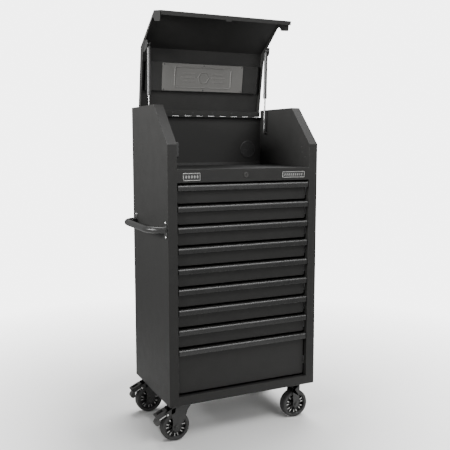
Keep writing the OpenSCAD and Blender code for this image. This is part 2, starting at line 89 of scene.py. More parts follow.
world = bpy.data.worlds.new("studio")
bpy.context.scene.world = world
world.use_nodes = True
wn = world.node_tree.nodes
wl = world.node_tree.links
back = wn["Background"]
path = wn.new("ShaderNodeLightPath")
mix = wn.new("ShaderNodeMixShader")
seen = wn.new("ShaderNodeBackground")
# The camera sees a bright backdrop, and the chest gets only a little light from it
AMBIENT, BACKDROP = 0.36, 5.0
for node, strength in ((back, AMBIENT), (seen, BACKDROP)):
    node.inputs["Color"].default_value = (1.0, 1.0, 1.0, 1)
    node.inputs["Strength"].default_value = strength
wl.new(path.outputs["Is Camera Ray"], mix.inputs[0])
wl.new(back.outputs[0], mix.inputs[1])
wl.new(seen.outputs[0], mix.inputs[2])
wl.new(mix.outputs[0], wn["World Output"].inputs["Surface"])


def area(name, at, target, size, power):
    """A rectangular light. Watts, metres."""
    data = bpy.data.lights.new(name, "AREA")
    data.shape = "RECTANGLE"
    data.size, data.size_y = size
    data.energy = power
    obj = bpy.data.objects.new(name, data)
    bpy.context.scene.collection.objects.link(obj)
    obj.location = at
    obj.rotation_euler = (Vector(target) - Vector(at)).to_track_quat("-Z", "Y").to_euler()
    return obj


key = area("key_left", (-2.6, -0.5, 1.8), (-0.3, 0, 1.7), (1.6, 0.7), 34)
key.data.spread = math.radians(70)
area("top", (0.7, 1.0, 4.2), (0.5, -0.2, 0.3), (3.2, 2.2), 270)
area("fill_front", (1.0, -3.6, 2.0), (0, 0, 1.0), (2.2, 1.6), 40)
area("pull_strip", (1.3, -2.2, 3.4), (0, -0.24, 0.8), (2.6, 0.6), 80)

# ---- materials ----


def nodes_of(name):
    mat = bpy.data.materials.new(name)
    mat.use_nodes = True
    return mat, mat.node_tree.nodes, mat.node_tree.links, mat.node_tree.nodes["Principled BSDF"]


def noise(n, links, coord, scale, detail=2.0, rough=0.5, stretch=None):
    tex = n.new("ShaderNodeTexNoise")
    tex.inputs["Scale"].default_value = scale
    tex.inputs["Detail"].default_value = detail
    tex.inputs["Roughness"].default_value = rough
    if stretch:
        mapping = n.new("ShaderNodeMapping")
        mapping.inputs["Scale"].default_value = stretch
        links.new(coord, mapping.inputs["Vector"])
        coord = mapping.outputs["Vector"]
    links.new(coord, tex.inputs["Vector"])
    return tex.outputs["Fac"]


def span(n, links, value, low, high, out_low, out_high):
    node = n.new("ShaderNodeMapRange")
    node.inputs["From Min"].default_value = low
    node.inputs["From Max"].default_value = high
    node.inputs["To Min"].default_value = out_low
    node.inputs["To Max"].default_value = out_high
    links.new(value, node.inputs["Value"])
    return node.outputs["Result"]


def maths(n, links, kind, a, b):
    node = n.new("ShaderNodeMath")
    node.operation = kind
    for socket, value in zip(node.inputs, (a, b)):
        if isinstance(value, (int, float)):
            socket.default_value = value
        else:
            links.new(value, socket)
    return node.outputs[0]


def covered(n, links, under, colour, amount):
    """A colour laid over another one by an amount from 0 to 1."""
    over = n.new("ShaderNodeMix")
    over.data_type = "RGBA"
    over.inputs["B"].default_value = colour
    links.new(under, over.inputs["A"])
    links.new(amount, over.inputs["Factor"])
    return over.outputs["Result"]


DUST_GREY = (0.16, 0.155, 0.145, 1)


def surface(
    name,
    colour,
    rough,
    metallic=0.0,
    spread=0.12,
    grain=0.0012,
    grain_depth=0.00012,
    mottle=0.05,
    edge_highlight=None,
    specular=0.5,
    stretch=None,
    dust=0.0,
):
    """A paint, plastic or metal: colour variation, grain in the bump, a painted highlight on the
    bevelled edges.

    spread is how much the colour varies, as a fraction. grain, grain_depth and mottle are sizes
    in metres. The colour given for the edges is a painted highlight along the bevelled folds,
    laid in noise patches, and dust lies on the faces that look up.
    """
    mat, n, links, shader = nodes_of(name)
    coord = n.new("ShaderNodeTexCoord").outputs["Object"]
    broad = noise(n, links, coord, 1 / mottle, 3)
    fine = noise(n, links, coord, 1 / (4 * grain), 2)
    base = n.new("ShaderNodeMix")
    base.data_type = "RGBA"
    base.inputs["A"].default_value = (*[c * (1 - spread) for c in colour], 1)
    base.inputs["B"].default_value = (*[c * (1 + spread) for c in colour], 1)
    slow = maths(n, links, "MULTIPLY", broad, 0.45)
    quick = maths(n, links, "MULTIPLY", fine, 0.55)
    tone = maths(n, links, "ADD", slow, quick)
    links.new(span(n, links, tone, 0.36, 0.64, 0, 1), base.inputs["Factor"])
    result = base.outputs["Result"]
    roughness = span(n, links, tone, 0.3, 0.7, rough - 0.06, rough + 0.06)
    if dust:
        geometry = n.new("ShaderNodeNewGeometry")
        split = n.new("ShaderNodeSeparateXYZ")
        links.new(geometry.outputs["Normal"], split.inputs[0])
        upward = span(n, links, split.outputs["Z"], 0.5, 1.0, 0, dust)
        settled = maths(n, links, "MULTIPLY", upward, broad)
        result = covered(n, links, result, DUST_GREY, settled)
    # A lighter colour on the bevelled edges, in noise patches: a painted highlight along the folds.
    if edge_highlight:
        attribute = n.new("ShaderNodeAttribute")
        attribute.attribute_name = "edge"
        patches = span(n, links, noise(n, links, coord, 60, 4), 0.42, 0.62, 0.25, 1)
        amount = maths(n, links, "MULTIPLY", attribute.outputs["Fac"], patches)
        result = covered(n, links, result, (*edge_highlight, 1), amount)
        smooth = n.new("ShaderNodeMix")
        links.new(amount, smooth.inputs["Factor"])
        links.new(roughness, smooth.inputs["A"])
        smooth.inputs["B"].default_value = rough - 0.1
        roughness = smooth.outputs["Result"]
    links.new(result, shader.inputs["Base Color"])
    links.new(roughness, shader.inputs["Roughness"])
    shader.inputs["Metallic"].default_value = metallic
    shader.inputs["Specular IOR Level"].default_value = specular
    height = noise(n, links, coord, 1 / (2.2 * grain), 3, 0.6, stretch)
    bump = n.new("ShaderNodeBump")
    bump.inputs["Strength"].default_value = 0.8
    bump.inputs["Distance"].default_value = grain_depth
    links.new(height, bump.inputs["Height"])
    links.new(bump.outputs["Normal"], shader.inputs["Normal"])
    return mat


# In each material below, the colour given for the edges is a painted highlight on the bevelled
# folds.
COAT = surface(
    "chest_coat", (0.0195, 0.0193, 0.0186), 0.58, edge_highlight=(0.075, 0.075, 0.073), specular=0.22,
    grain=0.0011, grain_depth=0.00022,
)
PULL = surface("pull_coat", (0.015, 0.015, 0.0146), 0.27, edge_highlight=(0.045, 0.045, 0.043), grain=0.0006,
               grain_depth=0.000012, specular=0.5)
TRAY = surface("tray_coat", (0.02, 0.02, 0.0195), 0.55, edge_highlight=(0.05, 0.05, 0.048), specular=0.4)
PLATE = surface("plate_grey", (0.12, 0.118, 0.112), 0.5, metallic=0.35, edge_highlight=(0.2, 0.195, 0.185),
                grain=0.0009, grain_depth=0.00008, spread=0.06)
CHROME = surface(
    "badge_chrome", (0.34, 0.34, 0.33), 0.34, metallic=1, edge_highlight=(0.42, 0.42, 0.41), spread=0.03,
    grain=0.0004, grain_depth=0.00001,
)
FIELD = surface(
    "badge_field", (0.02, 0.02, 0.02), 0.35, spread=0.05, grain=0.0005, grain_depth=0.00002,
)
DARK_NICKEL = surface(
    "lock_nickel", (0.06, 0.059, 0.057), 0.34, metallic=0.8, edge_highlight=(0.09, 0.088, 0.085),
    grain=0.0004, grain_depth=0.00001,
)
ZINC = surface(
    "slide_zinc", (0.5, 0.51, 0.52), 0.36, metallic=1, edge_highlight=(0.7, 0.7, 0.7), mottle=0.012,
    grain=0.0008, grain_depth=0.00002, stretch=(1, 0.08, 1),
)
BRIGHT = surface(
    "screw_steel", (0.78, 0.78, 0.77), 0.24, metallic=1, edge_highlight=(0.9, 0.9, 0.9), spread=0.04,
    grain=0.0004, grain_depth=0.00002,
)
BLACKED = surface(
    "castor_black", (0.026, 0.026, 0.0255), 0.46, metallic=0.1, edge_highlight=(0.06, 0.06, 0.058),
    grain=0.0009, grain_depth=0.0001, dust=0.1,
)
STRUT = surface("strut_black", (0.026, 0.026, 0.0255), 0.38, edge_highlight=(0.12, 0.12, 0.12), grain=0.0005,
                grain_depth=0.00002)
ROD = surface("rod_chrome", (0.2, 0.2, 0.198), 0.3, metallic=1, grain=0.0003, grain_depth=0.00001,
              stretch=(1, 1, 0.05))
PLASTIC = surface(
    "black_plastic", (0.014, 0.014, 0.014), 0.46, edge_highlight=(0.03, 0.03, 0.03), grain=0.0007,
    grain_depth=0.00006,
)
PEDAL = surface(
    "pedal_plastic", (0.045, 0.045, 0.0435), 0.5, edge_highlight=(0.07, 0.07, 0.068), grain=0.0007,
    grain_depth=0.00008,
)
RUBBER = surface(
    "wheel_rubber", (0.026, 0.026, 0.0255), 0.66, edge_highlight=(0.04, 0.04, 0.039), grain=0.001,
    grain_depth=0.0001, dust=0.2,
)
HUB = surface(
    "hub_silver", (0.42, 0.42, 0.415), 0.2, metallic=1, edge_highlight=(0.6, 0.6, 0.59), spread=0.05,
    grain=0.0006, grain_depth=0.00002,
)
HUB_DARK = surface("hub_dark", (0.012, 0.012, 0.012), 0.3, grain=0.0007, grain_depth=0.00004)
HANDLE = surface(
    "handle_coat", (0.02, 0.02, 0.0195), 0.34, edge_highlight=(0.045, 0.045, 0.044), grain=0.0006,
    grain_depth=0.00005,
)
# The hinge leaves get a lighter, low-gloss copy of the chest coat: a painted highlight for the
# light knuckle line.
HINGE_HIGHLIGHT_COAT = surface("hinge_coat", (0.028, 0.028, 0.027), 0.75, edge_highlight=(0.04, 0.04, 0.039), grain=0.0007,
                grain_depth=0.0001, specular=0.12)
LINER = surface("drawer_liner", (0.02, 0.02, 0.021), 0.85, grain=0.0016, grain_depth=0.0003)
PALE = surface(
    "floor_pale", (0.92, 0.92, 0.91), 0.75, spread=0.01, grain=0.004, grain_depth=0.00005,
    mottle=0.8,
)

# The floor fades out, so that it has no edge against the white behind it
FADE_FROM, FADE_TO = 0.6, 2.4
tree = PALE.node_tree
distance = tree.nodes.new("ShaderNodeVectorMath")
distance.operation = "LENGTH"
tree.links.new(tree.nodes.new("ShaderNodeTexCoord").outputs["Object"], distance.inputs[0])
fade = span(tree.nodes, tree.links, distance.outputs["Value"], FADE_FROM, FADE_TO, 0, 1)
clear = tree.nodes.new("ShaderNodeBsdfTransparent")
blend = tree.nodes.new("ShaderNodeMixShader")
tree.links.new(fade, blend.inputs[0])
tree.links.new(tree.nodes["Principled BSDF"].outputs[0], blend.inputs[1])
tree.links.new(clear.outputs[0], blend.inputs[2])
tree.links.new(blend.outputs[0], tree.nodes["Material Output"].inputs["Surface"])

# ---- mesh building, in cabinet millimetres ----

SHARP = math.radians(32)
AXES = {
    "x": lambda u, v, w: (w, u, v),
    "y": lambda u, v, w: (u, w, v),
    "z": lambda u, v, w: (u, v, w),
}


def fillet(points, radius, steps=4, closed=True):
    """Rounds the corners of an outline. radius is one number, or one for each point."""
    count = len(points)
    radii = [radius] * count if isinstance(radius, (int, float)) else list(radius)
    out = []
    for i, p in enumerate(points):
        if radii[i] <= 0 or (not closed and i in (0, count - 1)):
            out.append(tuple(p))
            continue
        here = Vector(p)
        a = Vector(points[i - 1]) - here
        b = Vector(points[(i + 1) % count]) - here
        turn = math.pi - a.angle(b)
        if turn < 0.02:
            out.append(tuple(p))
            continue
        reach = min(radii[i] * math.tan(turn / 2), a.length * 0.49, b.length * 0.49)
        rho = reach / math.tan(turn / 2)
        start = here + a.normalized() * reach
        middle = here + (a.normalized() + b.normalized()).normalized() * math.hypot(rho, reach)
        arm = start - middle
        other = here + b.normalized() * reach - middle
        sweep = math.atan2(arm.x * other.y - arm.y * other.x, arm.dot(other))
        n = max(1, round(steps * abs(sweep) / (math.pi / 2)) + 1)
        for k in range(n + 1):
            t = sweep * k / n
            out.append(
                (
                    middle.x + arm.x * math.cos(t) - arm.y * math.sin(t),
                    middle.y + arm.x * math.sin(t) + arm.y * math.cos(t),
                )
            )
    return out


def folded(points, thick, inner, steps=3):
    """The closed outline of a sheet folded along an open line. The metal is on its left."""
    left, offset = [], []
    for i in range(len(points) - 1):
        d = (Vector(points[i + 1]) - Vector(points[i])).normalized()
        left.append(Vector((-d.y, d.x)))
    radii_a, radii_b = [0], [0]
    offset.append(Vector(points[0]) + left[0] * thick)
    for i in range(1, len(points) - 1):
        n0, n1 = left[i - 1], left[i]
        offset.append(Vector(points[i]) + (n0 + n1) * thick / (1 + n0.dot(n1)))
        turns_left = n0.x * n1.y - n0.y * n1.x > 0
        radii_a.append(inner + thick if turns_left else inner)
        radii_b.append(inner if turns_left else inner + thick)
    offset.append(Vector(points[-1]) + left[-1] * thick)
    radii_a.append(0)
    radii_b.append(0)
    outer = fillet(points, radii_a, steps, closed=False)
    inner_line = fillet([tuple(p) for p in offset], radii_b, steps, closed=False)
    return outer + inner_line[::-1]


def arc(cx, cy, r, a0, a1, steps):
    angles = [math.radians(a0 + (a1 - a0) * k / steps) for k in range(steps + 1)]
    return [(cx + r * math.cos(t), cy + r * math.sin(t)) for t in angles]


def rectangle(u0, v0, u1, v1):
    return [(u0, v0), (u1, v0), (u1, v1), (u0, v1)]


def oval(across, up, steps):
    angles = [2 * math.pi * k / steps for k in range(steps)]
    return [(across * math.cos(t), up * math.sin(t)) for t in angles]


def is_sharp(e):
    return len(e.link_faces) == 2 and e.calc_face_angle(0) > SHARP


class Build:
    """Gathers solids into one mesh."""

    def __init__(self, mesh=None):
        self.bm = bmesh.new()
        if mesh:
            self.bm.from_mesh(mesh)
        self.edge = self.bm.faces.layers.float.new("edge")

    def ease(self, edges, width, segments):
        """Bevels edges and marks the new faces, where the lighter edge colour paints a highlight.
        """
        made = bmesh.ops.bevel(
            self.bm, geom=edges, offset=width, segments=segments, profile=0.5,
            affect="EDGES", clamp_overlap=True, material=-1,
        )
        for f in made["faces"]:
            f[self.edge] = 1.0

    def close(self, faces, mat, bev, only=None):
        """Finishes a solid. bev is (width, segments) for its sharp edges, only picks among them."""
        bmesh.ops.recalc_face_normals(self.bm, faces=faces)
        for f in faces:
            f.material_index = mat
        if bev:
            sharp = {e for f in faces for e in f.edges if is_sharp(e) and (not only or only(e))}
            self.ease(list(sharp), *bev)

    def taper(self, low_outline, high_outline, axis, low, high, mat=0, bev=None, only=None):
        """A solid between two outlines across an axis."""
        place = AXES[axis]
        bm = self.bm
        a = [bm.verts.new(place(u, v, low)) for u, v in low_outline]
        b = [bm.verts.new(place(u, v, high)) for u, v in high_outline]
        faces = [bm.faces.new(a), bm.faces.new(b[::-1])]
        for i in range(len(a)):
            j = (i + 1) % len(a)
            faces.append(bm.faces.new((a[i], a[j], b[j], b[i])))
        self.close(faces, mat, bev, only)

    def prism(self, outline, axis, low, high, mat=0, bev=None, only=None):
        self.taper(outline, outline, axis, low, high, mat, bev, only)

    def box(self, low, high, mat=0, bev=None):
        outline = rectangle(low[0], low[1], high[0], high[1])
        self.prism(outline, "z", low[2], high[2], mat, bev)

    def lathe(self, profile, at, axis="z", steps=32, mat=0):
        """Turns (radius, height) points about an axis through at. A ring if no radius is 0."""
        bm = self.bm
        rings = []
        for r, h in profile:
            if r < 1e-6:
                v = {"x": (h, 0, 0), "y": (0, h, 0), "z": (0, 0, h)}[axis]
                rings.append([bm.verts.new(Vector(at) + Vector(v))])
                continue
            ring = []
            for k in range(steps):
                t = 2 * math.pi * k / steps
                c, s = r * math.cos(t), r * math.sin(t)
                v = {"x": (h, c, s), "y": (c, h, s), "z": (c, s, h)}[axis]
                ring.append(bm.verts.new(Vector(at) + Vector(v)))
            rings.append(ring)
        pairs = [(a, c) for a, c in zip(rings, rings[1:] + rings[:1]) if len(a) > 1 or len(c) > 1]
        faces = []
        for a, b in pairs:
            for k in range(steps):
                j = (k + 1) % steps
                if len(a) == 1:
                    faces.append(bm.faces.new((a[0], b[k], b[j])))
                elif len(b) == 1:
                    faces.append(bm.faces.new((a[k], a[j], b[0])))
                else:
                    faces.append(bm.faces.new((a[k], a[j], b[j], b[k])))
        self.close(faces, mat, None)

    def sweep(self, line, section, up, mat=0, closed=False):
        """Carries a closed section of (side, up) offsets along a line of points."""
        bm = self.bm
        points = [Vector(p) for p in line]
        count = len(points)
        rings = []
        for i, p in enumerate(points):
            before = points[i - 1] if i or closed else p
            after = points[(i + 1) % count] if i < count - 1 or closed else p
            along = (after - before).normalized()
            side = along.cross(Vector(up)).normalized()
            lift = side.cross(along).normalized()
            rings.append([bm.verts.new(p + side * a + lift * b) for a, b in section])
        faces = []
        last = count if closed else count - 1
        for i in range(last):
            a, b = rings[i], rings[(i + 1) % count]
            for k in range(len(section)):
                j = (k + 1) % len(section)
                faces.append(bm.faces.new((a[k], a[j], b[j], b[k])))
        if not closed:
            faces.append(bm.faces.new(rings[0]))
            faces.append(bm.faces.new(rings[-1][::-1]))
        self.close(faces, mat, None)

    def disc(self, radius, low, high, at, axis, steps, mat=0):
        """A plain cylinder."""
        self.lathe([(0, low), (radius, low), (radius, high), (0, high)], at, axis, steps, mat)

    def tube(self, line, radius, up, steps):
        self.sweep(line, oval(radius, radius, steps), up)

    def place_all(self, matrix):
        bmesh.ops.transform(self.bm, matrix=matrix, verts=self.bm.verts[:])
        if matrix.determinant() < 0:
            bmesh.ops.reverse_faces(self.bm, faces=self.bm.faces[:])


def piece(name, build, mats, body, place, stands_for, smooth=38):
    """Makes an object of a build. It rides a body and stands for CAD nodes."""
    build.place_all(place)
    for f in build.bm.faces:
        f.smooth = True
    mesh = bpy.data.meshes.new(name)
    build.bm.to_mesh(mesh)
    build.bm.free()
    mesh.set_sharp_from_angle(angle=math.radians(smooth))
    for m in mats:
        mesh.materials.append(m)
    obj = bpy.data.objects.new(name, mesh)
    bpy.context.scene.collection.objects.link(obj)
    weighted = obj.modifiers.new("normals", "WEIGHTED_NORMAL")
    weighted.keep_sharp = True
    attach(obj, body)
    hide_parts(*stands_for)


def from_cad(name, node, mats, width, segments=2):
    """A copy of a CAD node with its edges eased. width is in millimetres."""
    source = frame["nodes"][node]
    build = Build(source.data)
    bm = build.bm
    bmesh.ops.remove_doubles(bm, verts=bm.verts[:], dist=1e-6)
    bmesh.ops.dissolve_limit(
        bm, angle_limit=math.radians(0.6), verts=bm.verts[:], edges=bm.edges[:], delimit={"NORMAL"}
    )
    for f in bm.faces:
        f.material_index = 0
    build.ease([e for e in bm.edges if is_sharp(e)], width * 0.001, segments)
    piece(name, build, mats, source["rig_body"], Matrix.Identity(4), (node,))


def dome(build, at, axis, sign, radius, height, mat=0, steps=20, socket=0.0):
    """A screw or rivet head. socket is the radius of a recess in it."""
    profile = [(0, -0.4 * sign), (radius, -0.4 * sign)]
    for k in range(5):
        t = math.radians(18 * k)
        profile.append((radius * math.cos(t), height * math.sin(t) * sign))
    if socket:
        profile[-1] = (socket * 1.02, height * 0.96 * sign)
        profile.append((socket, height * 0.9 * sign))
        profile.append((socket * 0.92, height * 0.25 * sign))
        profile.append((0, height * 0.2 * sign))
    else:
        profile.append((0, height * sign))
    build.lathe(profile, at, axis, steps, mat)


def nut(build, at, axis, sign, radius, height, mat=0):
    """A hexagon head with chamfered corners."""
    u0, v0, w0 = {"x": (at[1], at[2], at[0]), "y": (at[0], at[2], at[1]), "z": at}[axis]
    hexagon = oval(radius, radius, 6)
    outline, top = ([(u0 + k * u, v0 + k * v) for u, v in hexagon] for k in (1, 0.86))
    low, mid, high = w0, w0 + sign * height * 0.8, w0 + sign * height
    build.prism(outline, axis, min(low, mid), max(low, mid), mat, (0.25, 1))
    if sign > 0:
        build.taper(outline, top, axis, mid, high, mat)
    else:
        build.taper(top, outline, axis, high, mid, mat)
    build.disc(radius * 1.15, 0, sign * 0.8, at, axis, 24, mat)


def mirrored(right):
    return CAB @ FLIP_X if right else CAB


def repaint(node, mat):
    obj = frame["nodes"][node]
    obj.data.materials.clear()
    obj.data.materials.append(mat)


# ---- cabinet ----

SHEET, WALL, BASE_Z, TOP_Z = 1.5, 40.0, 165.0, 1396.0
SLOPE_Z, SLOPE_RUN, HEADER_TOP, OPENING_TOP = 1235.0, 153.6, 1135.0, 1082.6
MID_X = WIDTH / 2
LOCK_Z = 1110.0


def shell_edge(e):
    """The edges to ease: not the bottom, nor the rear edge that closes against the back panel."""
    x, y = (min(v.co[k] for v in e.verts) for k in (0, 1))
    return max(v.co.z for v in e.verts) > BASE_Z + 3 and (y < DEPTH - 1 or x < WALL - 1)


for right in (False, True):
    side = "right" if right else "left"
    b = Build()
    floor_z = BASE_Z + SHEET
    outline = fillet(
        [(0, floor_z), (0, SLOPE_Z), (SLOPE_RUN, TOP_Z), (DEPTH, TOP_Z), (DEPTH, floor_z)],
        [0, 5, 5, 2, 0],
    )
    b.prism(outline, "x", 0, WALL, bev=(1.7, 3), only=shell_edge)
    piece(f"side_shell_{side}", b, [COAT], "cabinet", mirrored(right),
          (f"side_panel_{side}",))

from_cad("tray_floor_eased", "tray_floor", [TRAY], 0.5)
from_cad("back_panel_eased", "back_panel", [COAT], 0.25, 1)

b = Build()
b.box((0, 0, BASE_Z), (WIDTH, DEPTH, BASE_Z + SHEET), bev=(0.5, 2))
b.prism(folded([(20, 203), (0, 203), (0, BASE_Z + SHEET)], SHEET, 1.5), "x", WALL, WIDTH - WALL)
b.box((WALL, DEPTH - 2 * SHEET, BASE_Z + SHEET), (WIDTH - WALL, DEPTH - SHEET, BASE_Z + SHEET + 25))
piece("base_pan_eased", b, [COAT], "cabinet", CAB, ("base_pan",))

b = Build()
b.prism(
    folded([(30, HEADER_TOP), (0, HEADER_TOP), (0, OPENING_TOP), (15, OPENING_TOP)], SHEET, 1.6),
    "x", WALL, WIDTH - WALL,
)
piece("header_eased", b, [COAT], "cabinet", CAB, ("header_panel",))

# ---- badges and lock ----

b = Build()
for x, z, w, h in ((65, 1091, 75, 31), (517, 1094, 110, 26)):
    b.prism(fillet(rectangle(x, z, x + w, z + h), 2.4, 3), "y", -0.7, 0, 1, (0.3, 2))
    rim = fillet(rectangle(x + 1.3, z + 1.3, x + w - 1.3, z + h - 1.3), 1.6, 3)
    b.sweep([(u, -0.7, v) for u, v in rim], oval(1.25, 0.95, 12), (0, -1, 0), 0, closed=True)
for k in range(5):
    x = 78 + 12.25 * k
    lozenge = [(x - 4.6, 1106.5), (x, 1098.5), (x + 4.6, 1106.5), (x, 1114.5)]
    b.prism(lozenge, "y", -1.4, -0.6, 0, (0.35, 2))
for k in range(9):
    x = 525 + 10.4 * k
    slanted = [(x, 1102), (x + 5.4, 1102), (x + 8.6, 1112), (x + 3.2, 1112)]
    b.prism(slanted, "y", -1.3, -0.6, 0, (0.35, 2))
b.lathe(
    [(8.1, -1.0), (8.6, -1.9), (10.2, -2.0), (11.2, -1.5), (11.6, -0.4), (11.6, 0.2), (8.1, 0.2)],
    (MID_X, 0, LOCK_Z), "y", 40, 2,
)
piece("header_badges_detail", b, [CHROME, FIELD, DARK_NICKEL], "cabinet", CAB,
      ("header_badges",))

from_cad("lock_cylinder_eased", "lock_cylinder", [DARK_NICKEL], 0.35)
from_cad("lock_bar_eased", "lock_bar", [ZINC], 0.4, 1)
repaint("slide_cabinet_rails", ZINC)

# ---- drawers ----

COUNT, PITCH, FRONT_Y, PULL_H = 9, 84.5, 18.0, 25.0
SLIDE_Y, SLIDE_L, SLIDE_H, SLIDE_W, MEMBER_T = 22.0, 400.0, 28.2, 9.2, 1.2
BOX_X0, BOX_X1, BOX_L = 53, 637, 400
RIBS, RIB_PITCH = 28, 13.7


def pull_top(i):
    return OPENING_TOP - 6.6 - PITCH * (i - 1)


def front_bottom(i):
    return 212.0 if i == COUNT else pull_top(i) - 76


for i in range(1, COUNT + 1):
    z0, top = front_bottom(i), pull_top(i) - 4
    slide_z = z0 + (60 if i == COUNT else 32)
    b = Build()
    front = fillet(rectangle(47, z0, 643, top), [8, 8, 1, 1], 5)
    b.prism(front, "y", FRONT_Y, FRONT_Y + 3.4, 0, (2.2, 4),
            only=lambda e: max(v.co.y for v in e.verts) < FRONT_Y + 0.1)
    b.box((55, FRONT_Y + 2, z0), (635, FRONT_Y + 6.5, z0 + SHEET), 0, (0.5, 2))
    low, high = z0 + 3, top - 5
    y0, y1 = FRONT_Y + SHEET, FRONT_Y + SHEET + BOX_L
    for x in (BOX_X0, BOX_X1 - SHEET):
        b.box((x, y0, low), (x + SHEET, y1, high), 0, (0.5, 2))
        hem = [(x + SHEET / 2, y, high - 0.7) for y in (y0 + 1, y1 - 1)]
        b.tube(hem, 1.2, (0, 0, 1), 10)
    b.box((BOX_X0, y1 - SHEET, low), (BOX_X1, y1, high), 0, (0.5, 2))
    b.box((BOX_X0, y0 + 1.5, low), (BOX_X1, y1, low + SHEET), 0)
    liner = low + SHEET
    b.box((BOX_X0 + 3, y0 + 4, liner), (BOX_X1 - 3, y1 - 3, liner + 1.4), 1, (0.5, 2))
    for k in range(RIBS):
        y = y0 + 12 + RIB_PITCH * k
        rib = [(y, liner + 1.3), (y + 4, liner + 1.3), (y + 3, liner + 2), (y + 1, liner + 2)]
        b.prism(rib, "x", 60, 630, 1)
    web = WALL + 13
    lip, inside = web - SLIDE_W, web - MEMBER_T
    z_low, z_high = slide_z - SLIDE_H / 2, slide_z + SLIDE_H / 2
    member = [(web, z_low), (lip, z_low), (lip, z_low + MEMBER_T), (inside, z_low + MEMBER_T),
              (inside, z_high - MEMBER_T), (lip, z_high - MEMBER_T), (lip, z_high), (web, z_high)]
    for outline in (member, [(WIDTH - u, v) for u, v in member]):
        b.prism(outline, "y", SLIDE_Y, SLIDE_Y + SLIDE_L, 2)
    piece(
        f"drawer_{i}_detail", b, [COAT, LINER, ZINC], f"drawer_{i}", CAB,
        (f"drawer_{i}",),
    )
    repaint(f"slide_middle_rails_{i}", ZINC)

    b = Build()
    zt = pull_top(i)
    curve = [(y, z + zt - 10) for y, z in arc(10, 0, 10, 90, 180, 10)]
    outer = [(FRONT_Y, zt)] + curve + [(0, zt - PULL_H + 1), (1, zt - PULL_H)]
    inner = [(5, zt - PULL_H), (5, zt - PULL_H + 2), (2, zt - PULL_H + 2)]
    inner += [(y, z + zt - 10) for y, z in arc(10, 0, 8, 180, 90, 10)] + [(FRONT_Y, zt - 2)]
    b.prism(outer + inner, "x", 45, 645, 0, (0.4, 2),
            only=lambda e: max(abs(v.co.x - MID_X) for v in e.verts) > 299.9)
    cap = [(FRONT_Y, zt)] + curve + [(0, zt - PULL_H), (FRONT_Y, zt - PULL_H)]
    cap = fillet(cap, [0] * 12 + [2.5, 2.5], 4)
    for x in (44, 644.2):
        b.prism(cap, "x", x, x + 1.8, 0, (0.5, 2))
    piece(
        f"drawer_{i}_pull_detail", b, [PULL], f"drawer_{i}", CAB,
        (f"drawer_pull_{i}",),
    )

# ---- lid, in its closed place, turned open by the LID matrix ----

LID_X0, LID_X1 = 42.0, 648.0


def skin_end(e):
    """The cut edges at the skin's two ends."""
    along = abs(e.verts[0].co.x - e.verts[1].co.x)
    return max(abs(v.co.x - MID_X) for v in e.verts) > 302.9 and along < 1


b = Build()
skin = [(425, 1362.6), (DEPTH, 1362.6), (DEPTH, TOP_Z), (SLOPE_RUN, TOP_Z), (0, SLOPE_Z),
        (0, 1138.5), (18, 1138.5)]
b.prism(folded(skin, SHEET, 1.8, 4), "x", LID_X0, LID_X1, 0, (0.4, 2), only=skin_end)
flange = fillet(
    [(DEPTH, TOP_Z), (SLOPE_RUN, TOP_Z), (0, SLOPE_Z), (0, 1155), (43, 1155), (43, 1219),
     (27, 1240), (34, 1255), (130, 1343), (185, 1364), (DEPTH, 1369)],
    [3.3, 3.3, 3.3, 1, 6, 9, 9, 10, 50, 60, 1], 5,
)
for x in (LID_X0, LID_X1 - SHEET):
    b.prism(flange, "x", x, x + SHEET, 0, (0.45, 2))
tab = fillet(rectangle(333, 17, 357, 24), [0, 0, 3, 3], 3)
b.prism(tab, "z", 1138.5, 1140, 0, (0.4, 2))
piece("lid_shell_detail", b, [COAT], "lid", LID, ("lid_shell",))

from_cad("lid_stiffener_eased", "lid_stiffener", [COAT], 1.6, 3)
# Both hinge leaves take the lighter hinge coat, the painted highlight along the knuckles.
from_cad("hinge_lid_leaf_eased", "hinge_lid_leaf", [HINGE_HIGHLIGHT_COAT], 0.25, 1)
from_cad("hinge_cabinet_leaf_eased", "hinge_cabinet_leaf", [HINGE_HIGHLIGHT_COAT], 0.25, 1)

FACE_Z, PLATE_Y = 1376.5, 276.5
b = Build()
plate = fillet(rectangle(142.5, 215.2, 547.5, 337.7), 2, 3)
b.prism(plate, "z", FACE_Z, FACE_Z + 1.4, 0, (0.45, 2))
border = fillet(rectangle(204, 231, 486, 322), 9, 6)
hexagon = fillet([(MID_X + u, PLATE_Y + v) for u, v in oval(27, 27, 6)], 4, 3)
for outline in (border, hexagon):
    ridge = [(u, v, FACE_Z) for u, v in outline]
    b.sweep(ridge, oval(2.6, 1.5, 12), (0, 0, -1), 0, closed=True)
for sign in (-1, 1):
    for k in (-1, 0, 1):
        near, far = 40 + 4 * abs(k), 114 - 12 * abs(k)
        u0, u1 = sorted((MID_X + sign * near, MID_X + sign * far))
        v = PLATE_Y + 17 * k
        bar = fillet(rectangle(u0, v - 4, u1, v + 4), 3.9, 4)
        b.prism(bar, "z", FACE_Z - 1.2, FACE_Z + 0.3, 0, (0.8, 3))
piece("lid_nameplate_detail", b, [PLATE], "lid", LID, ("lid_nameplate",))

